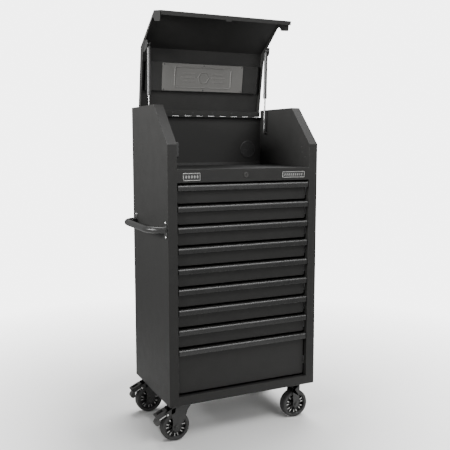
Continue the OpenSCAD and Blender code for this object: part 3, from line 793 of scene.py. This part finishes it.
b = Build()
for x in (150, MID_X, 540):
    for y in (221, 332):
        dome(b, (x, y, FACE_Z), "z", -1, 3.2, 1.7, 1)
for x in range(95, 600, 100):
    dome(b, (x, HINGE_Y - 18, HINGE_Z + 0.4), "z", -1, 3.4, 0.35, 1, 20, 1.5)
bracket = fillet([(118, 1312), (152, 1312), (176, 1352), (160, 1376), (124, 1336)], 6, 3)
for right in (False, True):
    x0, x1, x2 = (WIDTH - x if right else x for x in (LID_X0 + SHEET, LID_X0 + SHEET + 2, 49.5))
    b.prism(bracket, "x", min(x0, x1), max(x0, x1), 2, (0.4, 2))
    b.disc(4, min(x1, x2), max(x1, x2), (0, 135.6, 1324), "x", 20)
piece(
    "lid_fasteners_detail", b, [BRIGHT, FIELD, BLACKED], "lid", LID,
    ("lid_fasteners",),
)

# ---- gas struts ----

ORIGIN = (0, 0, 0)
STRUT_LOW = (56.0, 380.0, 1287.0)
STRUT_LEN = 381.93
LEANING = Matrix.Rotation(math.radians(1.98), 4, "X")
EYE = [(4.1, -6), (5.6, -6), (6.5, -5), (6.5, 5), (5.6, 6), (4.1, 6)]
BARREL = [
    (4.1, 161), (6.6, 161), (8.2, 161.8), (8.9, 163), (9, 164), (9, 184), (8.2, 185.4), (8.2, 187),
    (8.4, 188), (8.4, 336), (8.2, 337), (8.2, 338.6), (9, 340), (9, 368), (8.3, 369.6), (6, 370.4),
    (4.1, 370.4),
]
for right in (False, True):
    side = "right" if right else "left"
    place = mirrored(right) @ Matrix.Translation(STRUT_LOW) @ LEANING
    b = Build()
    b.lathe(EYE, ORIGIN, "x", 28, 1)
    b.lathe([(0, 5), (4.8, 5), (5.4, 9), (4.8, 17), (4.2, 19), (0, 19)], ORIGIN, "z", 24, 1)
    b.disc(4, 17, 186, ORIGIN, "z", 28)
    piece(f"strut_rod_{side}_detail", b, [ROD, STRUT], f"strut_rod_{side}", place,
          (f"strut_rod_{side}",))
    b = Build()
    b.lathe(BARREL, ORIGIN, "z", 32, 0)
    b.lathe([(0, 369.5), (5, 369.5), (5, 375), (4.6, 377), (0, 377)], ORIGIN, "z", 24, 0)
    b.lathe(EYE, (0, 0, STRUT_LEN), "x", 28, 0)
    piece(
        f"strut_cylinder_{side}_detail", b, [STRUT], f"strut_cylinder_{side}",
        place, (f"strut_cylinder_{side}",),
    )

# ---- fittings ----

low, high = (CAB.inverted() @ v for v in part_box("cable_grommet"))
hole_x, hole_z, ring_r = (low.x + high.x) / 2, (low.z + high.z) / 2, (high.x - low.x) / 2
centre = (hole_x, low.y, hole_z)
sleeve_r = ring_r - 3.6
b = Build()
collar = [
    (sleeve_r - 3, 0.6), (sleeve_r - 2.2, 0.1), (ring_r - 1.6, 0), (ring_r, 1), (ring_r, 2.5),
    (sleeve_r, 2.5), (sleeve_r, 4), (ring_r, 4), (ring_r, 5.8), (ring_r - 1, 6.5),
    (sleeve_r - 3, 6.5),
]
b.lathe(collar, centre, "y", 56)
b.lathe([(0, 4.4), (sleeve_r - 2.6, 4.4), (sleeve_r - 2.6, 5.2), (0, 5.2)], centre, "y", 48)
for k in range(8):
    a0, a1 = 45 * k + 1.2, 45 * k + 43.8
    wedge = arc(hole_x, hole_z, sleeve_r - 2.8, a0, a1, 8) + arc(hole_x, hole_z, 4, a1, a0, 2)
    b.prism(wedge, "y", low.y + 2.2 + 0.7 * (k % 2), low.y + 3.4 + 0.7 * (k % 2), 0, (0.35, 2))
piece("cable_grommet_detail", b, [PLASTIC], "cabinet", CAB, ("cable_grommet",))

b = Build()
b.prism(fillet(rectangle(52, 1182, 232, 1244), 5, 4), "x", WALL, 68, 0, (2.2, 3))
for z in (1187, 1207, 1227):
    b.prism(fillet(rectangle(58, z, 226, z + 12), 3, 3), "x", 67, 72, 0, (1.2, 2))
piece("power_block_detail", b, [PLASTIC], "cabinet", CAB, ("power_block",))

# ---- push handle ----

HANDLE_Z, REACH, BEND_R, TUBE_R = 896.0, 62.0, 70.0, 14.0
LEAN_DEGREES = 26.0
LEAN = math.radians(LEAN_DEGREES)
FEET = (22, 403)
stub = (REACH - BEND_R * (1 - math.sin(LEAN))) / math.cos(LEAN)
run = stub * math.sin(LEAN) + BEND_R * math.cos(LEAN)
line = [(-stub * t * math.cos(LEAN), FEET[0] + stub * t * math.sin(LEAN))
        for t in (0, 0.06, 0.16, 0.3, 0.5, 0.9)]
line += arc(BEND_R - REACH, FEET[0] + run, BEND_R, 270 - LEAN_DEGREES, 180, 18)
line += [(u, sum(FEET) - v) for u, v in line[::-1]]
b = Build()
b.tube([(u, v, HANDLE_Z) for u, v in line], TUBE_R, (0, 0, 1), 32)
for y, inward in zip(FEET, (1, -1)):
    tilt = Vector((-math.cos(LEAN), inward * math.sin(LEAN), 0))
    foot = Vector((-3.4, y, HANDLE_Z)) + tilt * 0.4
    weld = oval((TUBE_R + 0.6) * 1.06, TUBE_R + 0.6, 40)
    b.sweep([foot + Vector((0, u, v)) for u, v in weld], oval(1.7, 1.7, 8), (1, 0, 0), 0,
            closed=True)
    flange = arc(0, 22, 15, 0, 180, 16) + arc(0, -22, 15, 180, 360, 16)
    b.prism([(y + u, HANDLE_Z + v) for u, v in flange], "x", -3, 0, 0, (0.9, 3))
piece("push_handle_detail", b, [HANDLE], "cabinet", CAB, ("push_handle",))

# ---- fasteners on the cabinet ----

CASTOR_Y, SWIVEL_X, RIGID_X, AXLE_Z, PLATE_Z = (58.0, 394.0), 74.0, 620.0, 62.5, 161.0
b = Build()
for y in FEET:
    for z in (-29, 29):
        dome(b, (-3, y, HANDLE_Z + z), "x", -1, 5, 2.5, 0, 24, 2)
for right in (False, True):
    sign = -1 if right else 1
    x = WIDTH - WALL if right else WALL
    stud = (x, *STRUT_LOW[1:])
    b.lathe([(0, 0), (7, 0), (7, 2.2 * sign), (6, 3 * sign), (0, 3 * sign)], stud, "x", 24, 1)
    b.lathe([(0, 0), (4, 0), (4, 22 * sign), (3.4, 23 * sign), (0, 23 * sign)], stud, "x", 20, 1)
    spots = [(421, 1199), (37, 1180)]
    if right:
        spots[1:1] = [(61, 1223), (61, 1199)]
    for y, z in spots:
        dome(b, (x, y, z), "x", sign, 3, 1.4, 1, 20, 1.3)
for x in (SWIVEL_X, RIGID_X):
    for y in CASTOR_Y:
        for dx in (-40, 40):
            for dy in (-32, 32):
                nut(b, (x + dx, y + dy, PLATE_Z), "z", -1, 6, 5)
piece(
    "cabinet_fasteners_detail", b, [BRIGHT, DARK_NICKEL], "cabinet", CAB,
    ("cabinet_fasteners",),
)

# ---- castors ----

FORK_IN, FORK_OUT, RIM_R, TRAIL = 24.0, 27.0, 47.0, 34.0


def shifted(outline, x):
    return [(x + u, v) for u, v in outline]


def upright(b, outline, y, sign, near, far, mat, bev):
    """A plate across y, on one side of a castor's middle plane."""
    low, high = sorted((y + sign * near, y + sign * far))
    b.prism(outline, "y", low, high, mat, bev)


def legs(b, axle_x, outline, y, x):
    for sign in (-1, 1):
        upright(b, shifted(outline, x), y, sign, FORK_IN, FORK_OUT, 0, (0.7, 2))
        b.lathe([(0, 0), (11.5, 0), (11.5, sign * 0.9), (10.8, sign * 1.1), (0, sign * 1.1)],
                (x + axle_x, y + sign * FORK_OUT, AXLE_Z), "y", 28, 0)
        nut(b, (x + axle_x, y + sign * (FORK_OUT + 1), AXLE_Z), "y", sign, 8.6, 4.6, 0)
    b.disc(6, -28, 28, (x + axle_x, y, AXLE_Z), "y", 24, 1)


def castor_plate(b, x, y):
    outline = fillet(rectangle(x - 50, y - 42, x + 50, y + 42), 8, 4)
    b.prism(outline, "z", PLATE_Z, PLATE_Z + 4, 0, (0.6, 2))


b = Build()
rigid = fillet([(-18, 153), (18, 153), (18, 120), (15.5, 100), (15, AXLE_Z), (-15, AXLE_Z),
                (-15.5, 100), (-18, 120)], [0, 0, 20, 20, 0, 0, 20, 20], 4)
rigid = [p for p in rigid if p[1] > AXLE_Z + 0.01]
low_arc = arc(0, AXLE_Z, 15, 0, -180, 18)
rigid = [p for p in rigid if p[0] > 0] + low_arc + [p for p in rigid if p[0] < 0]
KING_PIN = [(0, 148), (9, 148), (9, 149), (6, 150), (6, PLATE_Z + 1), (0, PLATE_Z + 1)]
for y in CASTOR_Y:
    castor_plate(b, SWIVEL_X, y)
    castor_plate(b, RIGID_X, y)
    b.lathe(KING_PIN, (SWIVEL_X, y, 0), "z", 24, 1)
    legs(b, 0, rigid, y, RIGID_X)
    b.box((RIGID_X - 18, y - 27, 150), (RIGID_X + 18, y + 27, PLATE_Z), 0, (1.2, 2))
    b.lathe(
        [(24, 153), (25, 154), (25, PLATE_Z), (0, PLATE_Z), (0, 153)], (RIGID_X, y, 0), "z", 36,
        0,
    )
piece(
    "castor_frames_detail", b, [BLACKED, BRIGHT], "cabinet", CAB,
    ("castor_frames",),
)

swivel = fillet([(-44, 153), (30, 153), (30, 149), (16, 132), (10, 110), (-1, 84), (-16.4, 67)],
                [0, 0, 2, 20, 20, 20, 0], 4)
swivel += arc(-TRAIL, AXLE_Z, 18, 12, -192, 22)
swivel += fillet([(-51.5, 67), (-49, 84), (-50, 97), (-56, 112), (-56, 140), (-50, 150)],
                 [0, 20, 20, 12, 6, 0], 4)[1:]
lug = fillet([(-36, 150), (-66, 140), (-79, 130), (-79, 116), (-70, 113), (-38, 128)],
             [0, 6, 5, 5, 4, 0], 4)
lever = fillet([(-73, 142), (-119, 121), (-122, 115), (-106, 101), (-80, 112), (-68, 120),
                (-67, 130)], [4, 2, 2, 2, 6, 2, 6], 3)
tip = fillet([(-112, 117.8), (-119, 121), (-122, 115), (-112, 106.2)], [0, 2, 2, 0], 3)
tip[0] = (-112, 124.2)
heel = fillet([(-86, 109.5), (-80, 112), (-68, 120), (-67, 130), (-73, 142), (-86, 136.1)],
              [0, 6, 2, 6, 4, 0], 3)
block = fillet([(-101, 107), (-113, 108), (-124, 90), (-121, 80), (-112, 76), (-102, 80)],
               [1, 2, 3, 3, 3, 2], 3)
stripe = fillet([(-69, 123.6), (-106, 105.4), (-105, 102.2), (-70, 119.4)], 1.2, 2)
BOSS = [(3.1, -18), (6.4, -18), (7, -17), (7, 17), (6.4, 18), (3.1, 18)]
RACEWAY = [(6.1, 152), (33, 152), (34, 153.4), (34, 155), (31.5, 156), (31.5, 157.4), (34, 158.4),
           (34, 159.6), (33, 160.4), (6.1, 160.4)]
PIVOT_X, PIVOT_Z = SWIVEL_X - 72, 122
for k, which in enumerate(("front", "rear")):
    y = CASTOR_Y[k]
    b = Build()
    legs(b, -TRAIL, swivel, y, SWIVEL_X)
    for sign in (-1, 1):
        upright(b, shifted(lug, SWIVEL_X), y, sign, FORK_IN, FORK_OUT, 0, (0.6, 2))
        dome(b, (PIVOT_X, y + sign * FORK_OUT, PIVOT_Z), "y", sign, 4.2, 1.5, 1)
    b.disc(3, -24, 24, (PIVOT_X, y, PIVOT_Z), "y", 16, 1)
    bridge = rectangle(SWIVEL_X - 40, y - 27, SWIVEL_X + 30, y + 27)
    b.prism(fillet(bridge, 6, 3), "z", 150, 153, 0, (0.7, 2))
    b.lathe(RACEWAY, (SWIVEL_X, y, 0), "z", 44, 0)
    piece(
        f"swivel_fork_{which}_detail", b, [BLACKED, BRIGHT], f"swivel_fork_{which}",
        CAB, (f"swivel_fork_{which}",),
    )

    b = Build()
    for low, high, shape in ((-18, -9, lever), (-9, 9, tip), (-9, 9, heel), (9, 18, lever)):
        b.prism(shifted(shape, SWIVEL_X), "y", y + low, y + high, 0, (0.8, 2))
    b.lathe(BOSS, (PIVOT_X, y, PIVOT_Z), "y", 24, 0)
    b.prism(shifted(block, SWIVEL_X), "y", y - 14, y + 14, 1, (1.0, 2))
    for sign in (-1, 1):
        upright(b, shifted(stripe, SWIVEL_X), y, sign, 17.6, 18.2, 2, (0.2, 1))
    piece(
        f"brake_pedal_{which}_detail", b, [BLACKED, PEDAL, BRIGHT], f"brake_pedal_{which}",
        CAB, (f"brake_pedal_{which}",),
    )


SPOKE_PAIRS, HUB_R = 7, 13
TYRE = [(RIM_R, -20), (48.5, -20.9), (51, -21), (56, -20.8), (58.6, -19.6), (60.4, -15.5),
        (61.7, -13), (62.1, -9.5), (61.6, -7.6), (60.4, -7.2), (60.4, -5.4), (61.7, -4.9),
        (62.4, -2)]
RIM = [(RIM_R - 4, -15), (RIM_R - 3, -18), (RIM_R - 1.4, -19), (RIM_R, -18.4)]
HUB_TUBE = [(6.3, -20), (9, -20), (13, -19), (15.5, -14), (16, -8)]


def both_sides(profile):
    return profile + [(r, -h) for r, h in profile[::-1]]


def spoke(b, inner, outer, r0, r1, mat, sign):
    """One stretch of a spoke, from the hub towards the rim, with sloping sides."""
    across = Vector((-outer.y, outer.x))
    reach = outer * RIM_R - inner * HUB_R
    p0, p1 = (inner * HUB_R + reach * ((r - HUB_R) / (RIM_R - HUB_R)) for r in (r0, r1))
    layers = []
    for narrow in (1, 0.62):
        w0, w1 = (narrow * (1.4 + r / 16) for r in (r0, r1))
        corners = (p0 + across * w0, p0 - across * w0, p1 - across * w1, p1 + across * w1)
        layers.append([tuple(p) for p in corners])
    low, high = sorted((sign * 3.5, sign * 13))
    b.taper(layers[sign < 0], layers[sign > 0], "y", low, high, mat, (0.6, 2))


def wheel(name, x, y):
    b = Build()
    b.lathe(both_sides(TYRE), ORIGIN, "y", 72, 0)
    b.lathe(both_sides(RIM), ORIGIN, "y", 64, 2)
    b.lathe([(12, -4), (RIM_R - 2, -4), (RIM_R - 2, 4), (12, 4)], ORIGIN, "y", 48, 2)
    b.lathe(both_sides(HUB_TUBE), ORIGIN, "y", 36, 2)
    for sign in (-1, 1):
        for k in range(SPOKE_PAIRS):
            for lean in (-1, 1):
                t = 2 * math.pi * k / SPOKE_PAIRS + 0.3
                turns = (t + lean * math.radians(a) for a in (5, 11))
                inner, outer = (Vector((math.cos(a), math.sin(a))) for a in turns)
                spoke(b, inner, outer, HUB_R, 31, 2, sign)
                spoke(b, inner, outer, 30, RIM_R - 1.5, 1, sign)
    place = CAB @ Matrix.Translation((x, y, AXLE_Z))
    piece(f"{name}_detail", b, [RUBBER, HUB, HUB_DARK], name, place, (name,), 32)


for k, which in enumerate(("front", "rear")):
    wheel(f"wheel_{which}_left", SWIVEL_X - TRAIL, CASTOR_Y[k])
    wheel(f"wheel_{which}_right", RIGID_X, CASTOR_Y[k])

# ---- floor ----

floor_mesh = bpy.data.meshes.new("floor")
FLOOR = 6
corners = [(u, v, 0) for u, v in rectangle(-FLOOR, -FLOOR, FLOOR, FLOOR)]
floor_mesh.from_pydata(corners, [], [(0, 1, 2, 3)])
floor_mesh.materials.append(PALE)
floor = bpy.data.objects.new("floor", floor_mesh)
bpy.context.scene.collection.objects.link(floor)
floor.location.z = -0.0003
